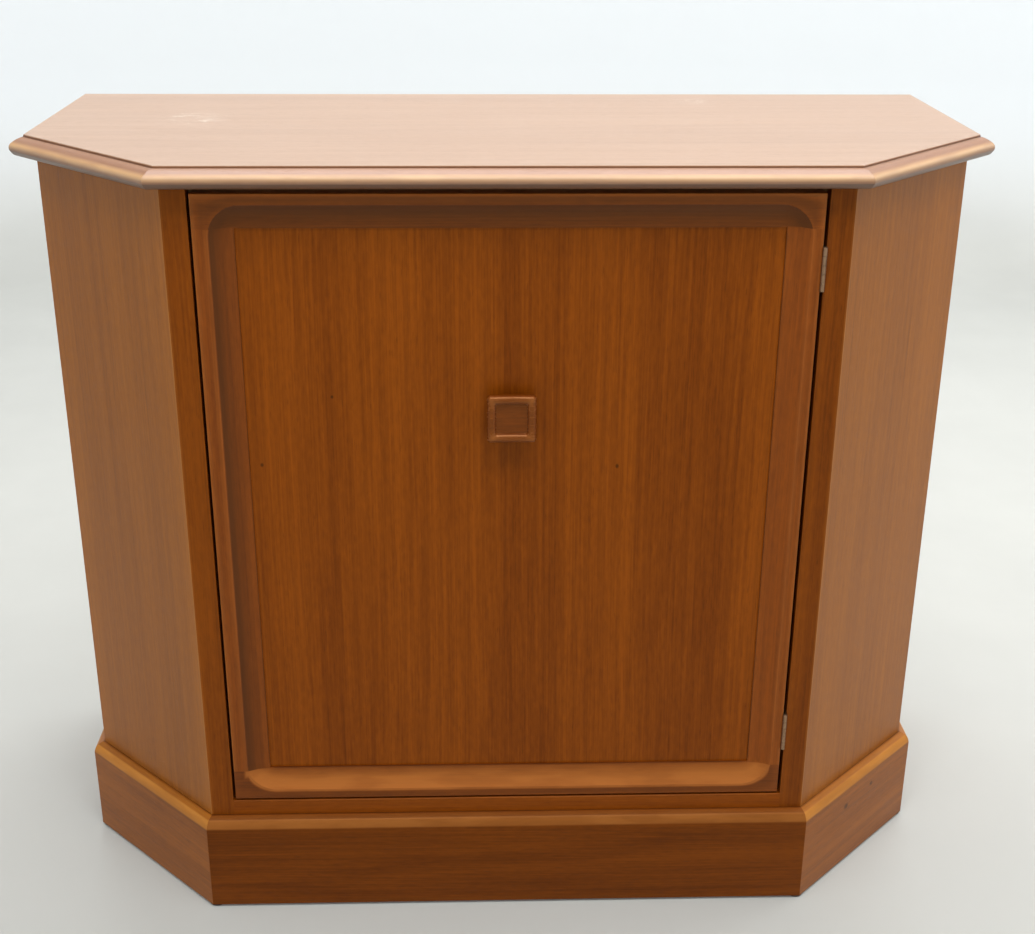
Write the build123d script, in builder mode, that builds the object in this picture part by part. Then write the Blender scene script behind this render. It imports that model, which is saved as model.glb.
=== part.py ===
"""A low teak cabinet with canted front corners, one framed door and a moulded top.

The origin is at the middle of the footprint, on the floor. +Z is up, and the door
faces -Y. Lengths are in millimetres.
"""
from build123d import *
from math import asin, degrees, sqrt
import os

os.makedirs("parts", exist_ok=True)

# Overall sizes
overall_height = 850.0
top_width = 1000.0                  # flat of the top, across its straight ends
body_depth = 430.0                  # from the stile faces to the back
front_half = 333.5                  # half the width of the body's front face
side_half = 487.5                   # half the width of the body across its sides
cant_run = side_half - front_half   # the canted corners stand at 45 degrees

# Boards
wall = 18.0
top_thickness = 20.0
floor_thickness = 18.0
back_thickness = 6.0
back_rabbet = 9.0
arris = 0.8

# Moulding along the top's front and canted edges
top_lip = 6.0                       # the top's flat, proud of the body
moulding_width = 18.0
moulding_quirk = 2.2

# Plinth and glides
glide_height = 3.0
glide_radius = 9.0
plinth_height = 115.0
plinth_overhang = 12.7
plinth_thickness = 20.0
plinth_slope = 9.0                  # the gentle part of the moulded top edge
plinth_slope_drop = 3.6
plinth_edge_drop = 13.0
plinth_block_height = 40.0
plinth_block_leg = 32.0

# Door
opening_half = 308.5
door_thickness = 22.0
door_arris = 0.6
door_gap_left = 2.9
door_gap_hinge = 3.4
door_gap_bottom = 2.5
door_gap_top = 8.0
border_left = 15.0
border_right = 10.5
border_top = 10.5
border_bottom = 11.5
cove_width = 24.5
cove_depth = 8.0
cove_corner = 33.0
cove_waste = 2.0                    # how far the cove's cutter runs on over the panel
panel_recess = 10.0
panel_thickness = 6.0
groove_depth = 7.0
panel_play = 1.0                    # room for the panel to swell in its groove
tongue_setback = 10.0

# Hinges
hinge_length = 44.5
hinge_inset_top = 52.5              # from the door's top edge
hinge_inset_bottom = 58.0           # from the door's bottom edge
knuckle_radius = 2.2
knuckle_count = 5
knuckle_play = 0.2
pin_radius = 1.1
pin_play = 0.05
leaf_inner = 0.9                    # inner face of a leaf, from the hinge axis
leaf_depth = 16.0

# Pull
grip_size = 50.0
grip_thickness = 11.0
grip_front = 13.0                   # how far the grip stands in front of the door
grip_recess = 34.0
grip_recess_depth = 5.0
grip_corner = 3.5
grip_front_rounding = 3.4
grip_back_rounding = 2.0
grip_recess_corner = 5.0
neck_size = 22.0
neck_corner = 3.0
pull_height = 595.5

# Glue blocks, rails, shelf and catch
stile_block = 14.0                  # legs of the blocks behind the front corners
stile_block_bevel = 8.0
stile_block_play = 2.0
side_block_outline = ((0, 0), (0, 20), (-12, 14), (-20, 4), (-14, -14))
side_block_height = 60.0
rail_thickness = 18.0
rail_depth = 50.0
shelf_top = 480.0
shelf_thickness = 18.0
shelf_setback = 60.0
shelf_play = 1.5
lipping = 6.0
shelf_pin_radius = 2.5
shelf_pin_length = 18.0
shelf_pin_seat = 9.0                # how deep a pin goes into its board
shelf_pin_front = 200.0             # from the stile faces to the front pins
shelf_pin_back = 60.0               # from the back to the rear pins
cant_pin_run = 70.0                 # from the front corner to the cant's pin, along each axis
catch_x = -250.0
catch_size = (50.0, 15.0, 12.0)
catch_flange = 2.5
catch_wall = 2.0                    # of the case round its magnet
catch_roof = 3.0
catch_cheek = 4.0
catch_screw_x = 19.0
catch_gap = 2.0                     # between the door's back and the catch
magnet_x = 10.0                     # half the magnet's length
plate_thickness = 1.2
plate_proud = 0.3
strike_screw_x = 12.0
strike_size = (34.0, 1.5, 12.0)

# Screws: length, shank diameter, head diameter
top_screw = (28.0, 4.0, 8.0)
back_screw = (20.0, 3.0, 6.0)
plinth_screw = (52.0, 4.5, 9.0)
hinge_screw = (14.0, 2.4, 4.8)
catch_screw = (15.0, 2.6, 5.2)
strike_screw = (13.0, 2.4, 4.8)
pull_screw = (21.0, 3.5, 7.0)
screw_play = 0.1

# Levels and planes worked out from them
top_overhang = top_lip + moulding_width
front_y = top_overhang - (body_depth + top_overhang) / 2
back_y = front_y + body_depth
back_inner = back_y - back_thickness
plinth_top = glide_height + plinth_height
body_top = overall_height - top_thickness
body_height = body_top - plinth_top
floor_top = plinth_top + floor_thickness
door_x0 = -opening_half + door_gap_left
door_x1 = opening_half - door_gap_hinge
door_z0 = floor_top + door_gap_bottom
door_z1 = body_top - door_gap_top
door_back = front_y + door_thickness
panel_x0 = door_x0 + border_left + cove_width
panel_x1 = door_x1 - border_right - cove_width
panel_z0 = door_z0 + border_bottom + cove_width
panel_z1 = door_z1 - border_top - cove_width
panel_front = front_y + panel_recess
panel_back = panel_front + panel_thickness
axis_x = opening_half - door_gap_hinge / 2
axis_y = front_y - door_gap_hinge / 2
rail_bottom = body_top - rail_thickness
rail_front = door_back + 0.5
shelf_bottom = shelf_top - shelf_thickness

LEFT_SIDE, LEFT_CANT, FRONT, RIGHT_CANT, RIGHT_SIDE = range(5)


def plan(offset):
    """Plan of the body grown by offset, from the back left round the front to the back right."""
    shift = (sqrt(2) - 1) * offset
    side = side_half + offset
    cant_y = front_y + cant_run - shift
    face = front_half + shift
    return [(-side, back_y), (-side, cant_y), (-face, front_y - offset),
            (face, front_y - offset), (side, cant_y), (side, back_y)]


def run_outline(edge, outer, inner):
    """Plan of one board between two offsets of the body, mitred to its neighbours."""
    outside = plan(outer)
    inside = plan(inner)
    return [outside[edge], outside[edge + 1], inside[edge + 1], inside[edge]]


def run_plane(edge, level):
    """Plane across a board: local X points out of the body, local Y up from level."""
    start = Vector(*plan(0)[edge])
    end = Vector(*plan(0)[edge + 1])
    along = (end - start).normalized()
    return Plane(origin=(start + end) / 2 + Vector(0, 0, level),
                 x_dir=Vector(along.Y, -along.X, 0), z_dir=-along)


def prism(outline, bottom, height, mode=Mode.ADD):
    """Upright prism of a plan outline, in the piece being built."""
    with BuildSketch(Plane.XY.offset(bottom)) as footprint:
        with BuildLine():
            Polyline(*outline, close=True)
        make_face()
    extrude(footprint.sketch, amount=height, mode=mode)


def block(x0, x1, y0, y1, z0, z1, mode=Mode.ADD):
    """Rectangular block between two corners, in the piece being built."""
    prism([(x0, y0), (x1, y0), (x1, y1), (x0, y1)], z0, z1 - z0, mode)


def facing(points, direction):
    """Places whose Z axes point along direction, for screws whose heads face that way."""
    return [Plane(origin=point, z_dir=direction).location for point in points]


def wood_screw(size):
    """Countersunk screw along -Z, with the top of its slotted head at the origin."""
    length, shank, head = size
    with BuildPart() as screw:
        with BuildSketch(Plane.XZ):
            with BuildLine():
                Polyline((0, 0), (head / 2, 0), (shank / 2, (shank - head) / 2),
                         (shank / 2, shank - length), (0, -length), close=True)
            make_face()
        revolve(axis=Axis.Z)
        with BuildSketch():
            Rectangle(head * 1.1, head * 0.14)
        extrude(amount=-head * 0.12, mode=Mode.SUBTRACT)
    return screw.part


def screw_group(places, size):
    """One screw at each place, in the piece being built."""
    screw = wood_screw(size)
    for place in places:
        add(screw.moved(place))


def clearance_holes(places, size):
    """Countersunk holes through the board that holds the screws' heads."""
    length, shank, head = size
    with Locations(*places):
        CounterSinkHole(shank / 2 + screw_play, head / 2 + screw_play, length + screw_play, 90)


def pilot_holes(places, size):
    """Holes for the screws' shanks in the board that they pull against."""
    length, shank, head = size
    with Locations(*places):
        Hole(shank / 2 + screw_play, depth=length + screw_play)


def save(built, label):
    """Name a finished piece and write it as a STEP file."""
    built.part.label = label
    export_step(built.part, f"parts/{label}.step")


# Places of the screws

top_screw_rows = (rail_front + rail_depth / 2, back_inner - rail_depth / 2)
top_screws_at = facing([(x, y, rail_bottom) for x in (-240, -80, 80, 240) for y in top_screw_rows],
                       (0, 0, -1))

back_screw_x = side_half - wall + back_rabbet / 2
back_points = [(x, back_y, plinth_top + 57 + 150 * step) for x in (-back_screw_x, back_screw_x)
               for step in range(5)]
back_points += [(x, back_y, z) for x in (-250, 0, 250)
                for z in (plinth_top + floor_thickness / 2, rail_bottom + rail_thickness / 2)]
back_screws_at = facing(back_points, (0, 1, 0))

hinge_levels = (door_z0 + hinge_inset_bottom + hinge_length / 2,
                door_z1 - hinge_inset_top - hinge_length / 2)
hinge_screw_y = front_y + leaf_depth * 0.6
hinge_points = [(hinge_screw_y, level + step * hinge_length * 0.35) for level in hinge_levels
                for step in (-1, 0, 1)]
frame_screws_at = facing([(axis_x + leaf_inner, y, z) for y, z in hinge_points], (-1, 0, 0))
door_screws_at = facing([(axis_x - leaf_inner, y, z) for y, z in hinge_points], (1, 0, 0))

catch_y = door_back + catch_gap + catch_size[1] / 2
catch_z = rail_bottom - catch_size[2] / 2
catch_screws_at = facing([(catch_x + dx, catch_y, rail_bottom - catch_flange)
                          for dx in (-catch_screw_x, catch_screw_x)], (0, 0, -1))
strike_y = door_back + strike_size[1]
strike_screws_at = facing([(catch_x + dx, strike_y, catch_z)
                           for dx in (-strike_screw_x, strike_screw_x)], (0, 1, 0))

pull_x = (panel_x0 + panel_x1) / 2
pull_screw_at = facing([(pull_x, panel_back, pull_height)], (0, 1, 0))

pin_level = shelf_bottom - shelf_pin_radius
side_pins_at = facing([(side_half - wall - shelf_pin_seat, y, pin_level)
                       for y in (front_y + shelf_pin_front, back_y - shelf_pin_back)], (-1, 0, 0))
cant_inside = Vector(*plan(-wall)[FRONT + 1])
pin_shift = shelf_pin_seat / sqrt(2)
cant_pin = cant_inside + Vector(cant_pin_run - pin_shift, cant_pin_run + pin_shift, pin_level)
cant_pin_at = Plane(origin=cant_pin, z_dir=(-1, 1, 0)).location

# Top and its moulding

end_y = front_y + top_width / 2 - front_half - top_lip * sqrt(2)
flat_corner = plan(top_lip)[FRONT + 1]

with BuildPart() as top_panel:
    prism([(-top_width / 2, back_y), (-top_width / 2, end_y), (-flat_corner[0], flat_corner[1]),
           flat_corner, (top_width / 2, end_y), (top_width / 2, back_y)], body_top, top_thickness)
    chamfer(faces().sort_by(Axis.Z)[-1].edges(), arris)
    pilot_holes(top_screws_at, top_screw)


def mould(edge, outline):
    """One length of the top's moulding, cut to its plan outline.

    Its section has a quirk, a long convex slope, a round nose and a cut-back underside.
    """
    with BuildSketch(run_plane(edge, overall_height)) as section:
        with BuildLine():
            slope = ThreePointArc((top_lip, -moulding_quirk), (top_lip + 8, -3.7), (top_lip + 15.2, -6.9))
            nose = ThreePointArc(slope @ 1, (top_overhang, -11), (top_lip + 16.2, -15.6))
            Polyline(nose @ 1, (top_lip + 11.6, -top_thickness), (top_lip, -top_thickness), slope @ 0)
        make_face()
    extrude(section.sketch, amount=side_half, both=True)
    prism(outline, body_top, top_thickness, Mode.INTERSECT)


with BuildPart() as top_moulding_front:
    mould(FRONT, run_outline(FRONT, top_overhang + 1, top_lip))

mitre = run_outline(RIGHT_CANT, top_overhang + 1, top_lip)
square_end = (moulding_width + 1) / sqrt(2)
with BuildPart() as top_moulding_right:
    mould(RIGHT_CANT, [mitre[0], (top_width / 2 + square_end, end_y - square_end),
                       (top_width / 2, end_y), mitre[3]])

with BuildPart() as top_moulding_left:
    mirror(top_moulding_right.part, about=Plane.YZ)

# Body

with BuildPart() as side_panel_right:
    prism(run_outline(RIGHT_SIDE, 0, -wall), plinth_top, body_height)
    block(side_half - wall, side_half - wall + back_rabbet, back_inner, back_y,
          plinth_top, body_top, Mode.SUBTRACT)
    pilot_holes(back_screws_at, back_screw)
    with Locations(*side_pins_at):
        Hole(shelf_pin_radius + pin_play, depth=shelf_pin_length + pin_play)

with BuildPart() as side_panel_left:
    mirror(side_panel_right.part, about=Plane.YZ)

with BuildPart() as cant_panel_right:
    prism(run_outline(RIGHT_CANT, 0, -wall), plinth_top, body_height)
    with Locations(cant_pin_at):
        Hole(shelf_pin_radius + pin_play, depth=shelf_pin_length + pin_play)

with BuildPart() as cant_panel_left:
    mirror(cant_panel_right.part, about=Plane.YZ)

stile_outline = [(opening_half, front_y), plan(0)[FRONT + 1], plan(-wall)[FRONT + 1],
                 (opening_half, front_y + wall)]
with BuildPart() as front_stile_left:
    prism(stile_outline, plinth_top, body_height)
    mirror(about=Plane.YZ, mode=Mode.REPLACE)

with BuildPart() as front_stile_right:
    prism(stile_outline, plinth_top, body_height)
    for level in hinge_levels:
        block(opening_half, axis_x + knuckle_radius, front_y, front_y + leaf_depth,
              level - hinge_length / 2, level + hinge_length / 2, Mode.SUBTRACT)
    pilot_holes(frame_screws_at, hinge_screw)

with BuildPart() as lower_front_rail:
    block(-opening_half, opening_half, front_y, front_y + wall, plinth_top, floor_top)
    chamfer(edges().filter_by(Axis.X).group_by(Axis.Z)[-1].sort_by(Axis.Y)[0], arris)

with BuildPart() as bottom_panel:
    prism([(x, min(y, back_inner)) for x, y in plan(-wall)], plinth_top, floor_thickness)
    pilot_holes(back_screws_at, back_screw)

with BuildPart() as back_panel:
    block(-side_half + wall - back_rabbet, side_half - wall + back_rabbet, back_inner, back_y,
          plinth_top, body_top)
    clearance_holes(back_screws_at, back_screw)

rail_front_x = front_half + (rail_front - front_y) - wall * sqrt(2)
with BuildPart() as top_rail_front:
    prism([(-rail_front_x, rail_front), (rail_front_x, rail_front),
           (rail_front_x + rail_depth, rail_front + rail_depth),
           (-rail_front_x - rail_depth, rail_front + rail_depth)], rail_bottom, rail_thickness)
    clearance_holes(top_screws_at, top_screw)
    pilot_holes(catch_screws_at, catch_screw)

with BuildPart() as top_rail_back:
    block(-side_half + wall, side_half - wall, back_inner - rail_depth, back_inner, rail_bottom, body_top)
    clearance_holes(top_screws_at, top_screw)
    pilot_holes(back_screws_at, back_screw)

corner_x, corner_y = plan(-wall)[FRONT + 1]
block_x = opening_half + stile_block_play
with BuildPart() as front_corner_block_right:
    prism([(block_x, corner_y), (corner_x, corner_y), (corner_x + stile_block, corner_y + stile_block),
           (corner_x + stile_block - stile_block_bevel, corner_y + stile_block + stile_block_bevel),
           (block_x, corner_y + stile_block)],
          floor_top, rail_bottom - floor_top)

with BuildPart() as front_corner_block_left:
    mirror(front_corner_block_right.part, about=Plane.YZ)

corner_x, corner_y = plan(-wall)[RIGHT_CANT + 1]
with BuildPart() as side_corner_blocks:
    for level in (floor_top, rail_bottom - side_block_height):
        prism([(corner_x + x, corner_y + y) for x, y in side_block_outline], level, side_block_height)
    mirror(about=Plane.YZ)

# Shelf

shelf_front = front_y + shelf_setback
shelf_inset = wall + shelf_play
shelf_corner = front_half - shelf_inset * sqrt(2) + shelf_setback
shelf_side, shelf_cant_y = plan(-shelf_inset)[RIGHT_CANT + 1]
with BuildPart() as shelf:
    prism([(-shelf_side, back_inner - 2), (-shelf_side, shelf_cant_y), (-shelf_corner, shelf_front),
           (shelf_corner, shelf_front), (shelf_side, shelf_cant_y), (shelf_side, back_inner - 2)],
          shelf_bottom, shelf_thickness)

with BuildPart() as shelf_lipping:
    prism([(-shelf_corner, shelf_front), (lipping - shelf_corner, shelf_front - lipping),
           (shelf_corner - lipping, shelf_front - lipping), (shelf_corner, shelf_front)],
          shelf_bottom, shelf_thickness)
    fillet(edges().filter_by(Axis.X).group_by(Axis.Y)[0], 2)

with BuildPart() as shelf_pins:
    with Locations(*side_pins_at, cant_pin_at):
        Cylinder(shelf_pin_radius, shelf_pin_length, align=(Align.CENTER, Align.CENTER, Align.MAX))
    mirror(about=Plane.YZ)

# Plinth


def plinth_board(edge):
    """One length of the plinth, mitred to its neighbours.

    Its outer top edge falls gently from the body, then steeply to the board's face.
    """
    inner = plinth_overhang - plinth_thickness
    with BuildSketch(run_plane(edge, 0)) as section:
        with BuildLine():
            slope = ThreePointArc((0, plinth_top),
                                  (plinth_slope / 2, plinth_top - plinth_slope_drop * 0.32),
                                  (plinth_slope, plinth_top - plinth_slope_drop))
            drop = ThreePointArc(slope @ 1, (plinth_overhang - 1.1, plinth_top - 7.2),
                                 (plinth_overhang, plinth_top - plinth_edge_drop))
            Polyline(drop @ 1, (plinth_overhang, glide_height), (inner, glide_height),
                     (inner, plinth_top), slope @ 0)
        make_face()
    extrude(section.sketch, amount=side_half, both=True)
    prism(run_outline(edge, plinth_overhang + 1, plinth_overhang - plinth_thickness),
          glide_height, plinth_height, Mode.INTERSECT)
    pilot_holes(glides_at, glide_nail)


glide_nail = (13.0, 2.0, 2.0)
glide_line = plan(plinth_overhang - plinth_thickness / 2)
glide_corners = glide_line[LEFT_CANT:RIGHT_SIDE + 1]
glide_ends = [(glide_line[edge][0], back_y - 12) for edge in (0, -1)]
glides_at = facing([(x, y, 0) for x, y in glide_corners[:4] + glide_ends], (0, 0, -1))

with BuildPart() as plinth_front:
    plinth_board(FRONT)

with BuildPart() as plinth_cant_right:
    plinth_board(RIGHT_CANT)

with BuildPart() as plinth_cant_left:
    plinth_board(LEFT_CANT)

with BuildPart() as plinth_side_right:
    plinth_board(RIGHT_SIDE)

with BuildPart() as plinth_side_left:
    plinth_board(LEFT_SIDE)

plinth_inner = plan(plinth_overhang - plinth_thickness)
with BuildPart() as plinth_back:
    block(plinth_inner[0][0], plinth_inner[-1][0], back_y - plinth_thickness, back_y,
          glide_height, plinth_top)


def corner_block(corner, before, after):
    """Kite-shaped glue block in a corner of the plinth, with a leg along each board."""
    here = Vector(*corner)
    first = (Vector(*before) - here).normalized()
    second = (Vector(*after) - here).normalized()
    inward = (first + second).normalized()
    points = [here, here + first * plinth_block_leg, here + inward * plinth_block_leg,
              here + second * plinth_block_leg]
    prism([(point.X, point.Y) for point in points], plinth_top - plinth_block_height, plinth_block_height)
    return here + inward * plinth_block_leg * 0.62


block_level = plinth_top - plinth_block_height
plinth_screw_points = []
with BuildPart() as plinth_corner_blocks:
    for edge in (LEFT_CANT, FRONT, RIGHT_CANT, RIGHT_SIDE):
        middle = corner_block(plinth_inner[edge], plinth_inner[edge - 1], plinth_inner[edge + 1])
        plinth_screw_points.append((middle.X, middle.Y, block_level))
    clearance_holes(facing(plinth_screw_points, (0, 0, -1)), plinth_screw)

back_corner_y = back_y - plinth_thickness
back_screw_points = []
with BuildPart() as plinth_back_blocks:
    for edge in (0, -1):
        side_x = plinth_inner[edge][0]
        middle = corner_block((side_x, back_corner_y), (side_x, front_y), (0, back_corner_y))
        back_screw_points.append((middle.X, middle.Y, block_level))
    clearance_holes(facing(back_screw_points, (0, 0, -1)), plinth_screw)

plinth_screws_at = facing(plinth_screw_points + back_screw_points, (0, 0, -1))
with bottom_panel:
    pilot_holes(plinth_screws_at, plinth_screw)

with BuildPart() as plinth_screws:
    screw_group(plinth_screws_at, plinth_screw)

with BuildPart() as glides:
    with Locations(*glides_at):
        Cylinder(glide_radius, glide_height, align=(Align.CENTER, Align.CENTER, Align.MAX))
        Cylinder(glide_nail[1] / 2, glide_nail[0], align=(Align.CENTER, Align.CENTER, Align.MAX))
    chamfer(edges().group_by(Axis.Z)[0], arris)

# Door frame and panel

cove_x0 = door_x0 + border_left
cove_x1 = door_x1 - border_right
cove_z0 = door_z0 + border_bottom
cove_z1 = door_z1 - border_top
cove_mid_x = (cove_x0 + cove_x1) / 2
cove_mid_z = (cove_z0 + cove_z1) / 2
cove_end = cove_x0 + cove_width
cove_radius = (cove_width ** 2 + cove_depth ** 2) / (2 * cove_depth)
cove_sweep = degrees(asin(cove_width / cove_radius))

with BuildPart() as cove_cutter:
    with BuildLine(Plane.XZ.offset(-front_y)) as cove_path:
        FilletPolyline((cove_x0, cove_mid_z), (cove_x0, cove_z1), (cove_mid_x, cove_z1),
                       radius=cove_corner)
    with BuildSketch(Plane.XY.offset(cove_mid_z)):
        with BuildLine():
            hollow = CenterArc((cove_end, front_y + cove_depth - cove_radius), cove_radius, 90, cove_sweep)
            Polyline(hollow @ 0, (cove_end + cove_waste, front_y + cove_depth),
                     (cove_end + cove_waste, front_y - 1), (cove_x0, front_y - 1), hollow @ 1)
        make_face()
    sweep(path=cove_path.line)
    mirror(about=Plane.XY.offset(cove_mid_z))
    mirror(about=Plane.YZ.offset(cove_mid_x))


def stile(x0, x1, tongue_x0, tongue_x1, outside):
    """Upright between the rails, with a tongue into each rail's groove."""
    block(x0, x1, front_y, door_back, panel_z0, panel_z1)
    chamfer(edges().filter_by(Axis.Z).group_by(Axis.X)[outside], door_arris)
    block(tongue_x0, tongue_x1, panel_front, panel_back, panel_z0 - groove_depth, panel_z1 + groove_depth)
    block(panel_x0 - groove_depth, panel_x1 + groove_depth, panel_front, panel_back,
          panel_z0 - groove_depth, panel_z1 + groove_depth, Mode.SUBTRACT)
    add(cove_cutter.part, mode=Mode.SUBTRACT)


def rail(z0, z1, outside):
    """Full-width rail, grooved for the panel and for both stiles' tongues."""
    block(door_x0, door_x1, front_y, door_back, z0, z1)
    chamfer(edges().filter_by(Axis.Z) + edges().filter_by(Axis.X).group_by(Axis.Z)[outside], door_arris)
    block(door_x0 + tongue_setback, door_x1 - tongue_setback, panel_front, panel_back,
          panel_z0 - groove_depth, panel_z1 + groove_depth, Mode.SUBTRACT)
    add(cove_cutter.part, mode=Mode.SUBTRACT)


with BuildPart() as door_rail_top:
    rail(panel_z1, door_z1, -1)
    pilot_holes(strike_screws_at, strike_screw)

with BuildPart() as door_rail_bottom:
    rail(door_z0, panel_z0, 0)

with BuildPart() as door_stile_left:
    stile(door_x0, panel_x0, door_x0 + tongue_setback, panel_x0 - groove_depth, 0)

with BuildPart() as door_stile_right:
    stile(panel_x1, door_x1, panel_x1 + groove_depth, door_x1 - tongue_setback, -1)
    for level in hinge_levels:
        block(axis_x - knuckle_radius, door_x1, front_y, front_y + leaf_depth,
              level - hinge_length / 2, level + hinge_length / 2, Mode.SUBTRACT)
    pilot_holes(door_screws_at, hinge_screw)

panel_margin = groove_depth - panel_play
with BuildPart() as door_panel:
    block(panel_x0 - panel_margin, panel_x1 + panel_margin, panel_front, panel_back,
          panel_z0 - panel_margin, panel_z1 + panel_margin)
    clearance_holes(pull_screw_at, pull_screw)

# Pull

grip_y = front_y - grip_front
with BuildPart() as pull_grip:
    with BuildSketch(Plane.XZ.offset(-grip_y)):
        with Locations((pull_x, pull_height)):
            RectangleRounded(grip_size, grip_size, grip_corner)
    extrude(amount=-grip_thickness)
    fillet(faces().sort_by(Axis.Y)[0].edges(), grip_front_rounding)
    fillet(faces().sort_by(Axis.Y)[-1].edges(), grip_back_rounding)
    with BuildSketch(Plane.XZ.offset(-grip_y)):
        with Locations((pull_x, pull_height)):
            RectangleRounded(grip_recess, grip_recess, grip_recess_corner)
    extrude(amount=-grip_recess_depth, mode=Mode.SUBTRACT)
    pilot_holes(pull_screw_at, pull_screw)

with BuildPart() as pull_neck:
    block(pull_x - neck_size / 2, pull_x + neck_size / 2, grip_y + grip_thickness, panel_front,
          pull_height - neck_size / 2, pull_height + neck_size / 2)
    fillet(edges().filter_by(Axis.Y), neck_corner)
    pilot_holes(pull_screw_at, pull_screw)

with BuildPart() as pull_fixing_screw:
    screw_group(pull_screw_at, pull_screw)

# Hinges

knuckle_step = hinge_length / knuckle_count


def hinge_leaf(level, side, own):
    """Leaf with its own knuckles; side is 1 for the frame's leaf and -1 for the door's."""
    bottom = level - hinge_length / 2
    inner = axis_x + side * leaf_inner
    outer = axis_x + side * knuckle_radius
    x0, x1 = sorted((inner, outer))
    block(x0, x1, axis_y, front_y + leaf_depth, bottom, bottom + hinge_length)
    for number in range(knuckle_count):
        low = bottom + number * knuckle_step + (knuckle_play if number else 0)
        high = bottom + (number + 1) * knuckle_step - (knuckle_play if number < knuckle_count - 1 else 0)
        if number % 2 == own:
            with Locations((axis_x, axis_y, (low + high) / 2)):
                Cylinder(knuckle_radius, high - low)
        else:
            block(x0 - 1, x1 + 1, axis_y - 1, axis_y + knuckle_radius + 0.4, low - 2 * knuckle_play,
                  high + 2 * knuckle_play, Mode.SUBTRACT)


def hinge_bore(level, radius):
    """Hole for the pin right through a leaf's knuckles."""
    with Locations((axis_x, axis_y, level)):
        Cylinder(radius, hinge_length + 1, mode=Mode.SUBTRACT)


hinge_parts = {}
for place, level in zip(("lower", "upper"), hinge_levels):
    with BuildPart() as frame_leaf:
        hinge_leaf(level, 1, 0)
        hinge_bore(level, pin_radius + pin_play)
        clearance_holes(frame_screws_at, hinge_screw)
    with BuildPart() as door_leaf:
        hinge_leaf(level, -1, 1)
        hinge_bore(level, pin_radius + pin_play)
        clearance_holes(door_screws_at, hinge_screw)
    with BuildPart() as pin:
        with Locations((axis_x, axis_y, level)):
            Cylinder(pin_radius, hinge_length)
        chamfer(edges(), 0.25)
    hinge_parts[f"hinge_{place}_frame_leaf"] = frame_leaf
    hinge_parts[f"hinge_{place}_door_leaf"] = door_leaf
    hinge_parts[f"hinge_{place}_pin"] = pin

with BuildPart() as hinge_frame_screws:
    screw_group(frame_screws_at, hinge_screw)

with BuildPart() as hinge_door_screws:
    screw_group(door_screws_at, hinge_screw)

# Catch

catch_y0 = catch_y - catch_size[1] / 2
catch_y1 = catch_y + catch_size[1] / 2
pocket_back = catch_y1 - catch_wall
pocket_low = rail_bottom - catch_size[2] + catch_wall
pocket_high = rail_bottom - catch_roof
with BuildPart() as catch_body:
    block(catch_x - catch_size[0] / 2, catch_x + catch_size[0] / 2, catch_y0, catch_y1,
          rail_bottom - catch_flange, rail_bottom)
    block(catch_x - magnet_x - catch_cheek, catch_x + magnet_x + catch_cheek, catch_y0, catch_y1,
          rail_bottom - catch_size[2], rail_bottom)
    block(catch_x - magnet_x, catch_x + magnet_x, catch_y0 - 1, pocket_back,
          pocket_low, pocket_high, Mode.SUBTRACT)
    clearance_holes(catch_screws_at, catch_screw)

with BuildPart() as catch_magnet:
    block(catch_x - magnet_x, catch_x + magnet_x, catch_y0, pocket_back,
          pocket_low + plate_thickness, pocket_high - plate_thickness)

with BuildPart() as catch_pole_plates:
    for low in (pocket_low, pocket_high - plate_thickness):
        block(catch_x - magnet_x, catch_x + magnet_x, catch_y0 - plate_proud, pocket_back,
              low, low + plate_thickness)

with BuildPart() as catch_screws:
    screw_group(catch_screws_at, catch_screw)

with BuildPart() as strike_plate:
    block(catch_x - strike_size[0] / 2, catch_x + strike_size[0] / 2, door_back, strike_y,
          catch_z - strike_size[2] / 2, catch_z + strike_size[2] / 2)
    clearance_holes(strike_screws_at, strike_screw)

with BuildPart() as strike_screws:
    screw_group(strike_screws_at, strike_screw)

with BuildPart() as top_screws:
    screw_group(top_screws_at, top_screw)

with BuildPart() as back_panel_screws:
    screw_group(back_screws_at, back_screw)

# Write every piece

pieces = {
    "top_panel": top_panel, "top_moulding_front": top_moulding_front,
    "top_moulding_left": top_moulding_left, "top_moulding_right": top_moulding_right,
    "side_panel_left": side_panel_left, "side_panel_right": side_panel_right,
    "cant_panel_left": cant_panel_left, "cant_panel_right": cant_panel_right,
    "front_stile_left": front_stile_left, "front_stile_right": front_stile_right,
    "lower_front_rail": lower_front_rail, "bottom_panel": bottom_panel, "back_panel": back_panel,
    "back_panel_screws": back_panel_screws, "top_rail_front": top_rail_front,
    "top_rail_back": top_rail_back, "top_screws": top_screws,
    "front_corner_block_left": front_corner_block_left,
    "front_corner_block_right": front_corner_block_right, "side_corner_blocks": side_corner_blocks,
    "shelf": shelf, "shelf_lipping": shelf_lipping, "shelf_pins": shelf_pins,
    "plinth_front": plinth_front, "plinth_cant_left": plinth_cant_left,
    "plinth_cant_right": plinth_cant_right, "plinth_side_left": plinth_side_left,
    "plinth_side_right": plinth_side_right, "plinth_back": plinth_back,
    "plinth_corner_blocks": plinth_corner_blocks, "plinth_back_blocks": plinth_back_blocks,
    "plinth_screws": plinth_screws, "glides": glides,
    "door_rail_top": door_rail_top, "door_rail_bottom": door_rail_bottom,
    "door_stile_left": door_stile_left, "door_stile_right": door_stile_right,
    "door_panel": door_panel, "pull_grip": pull_grip, "pull_neck": pull_neck,
    "pull_fixing_screw": pull_fixing_screw, "hinge_frame_screws": hinge_frame_screws,
    "hinge_door_screws": hinge_door_screws, "catch_body": catch_body, "catch_magnet": catch_magnet,
    "catch_pole_plates": catch_pole_plates, "catch_screws": catch_screws,
    "strike_plate": strike_plate, "strike_screws": strike_screws,
}
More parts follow.
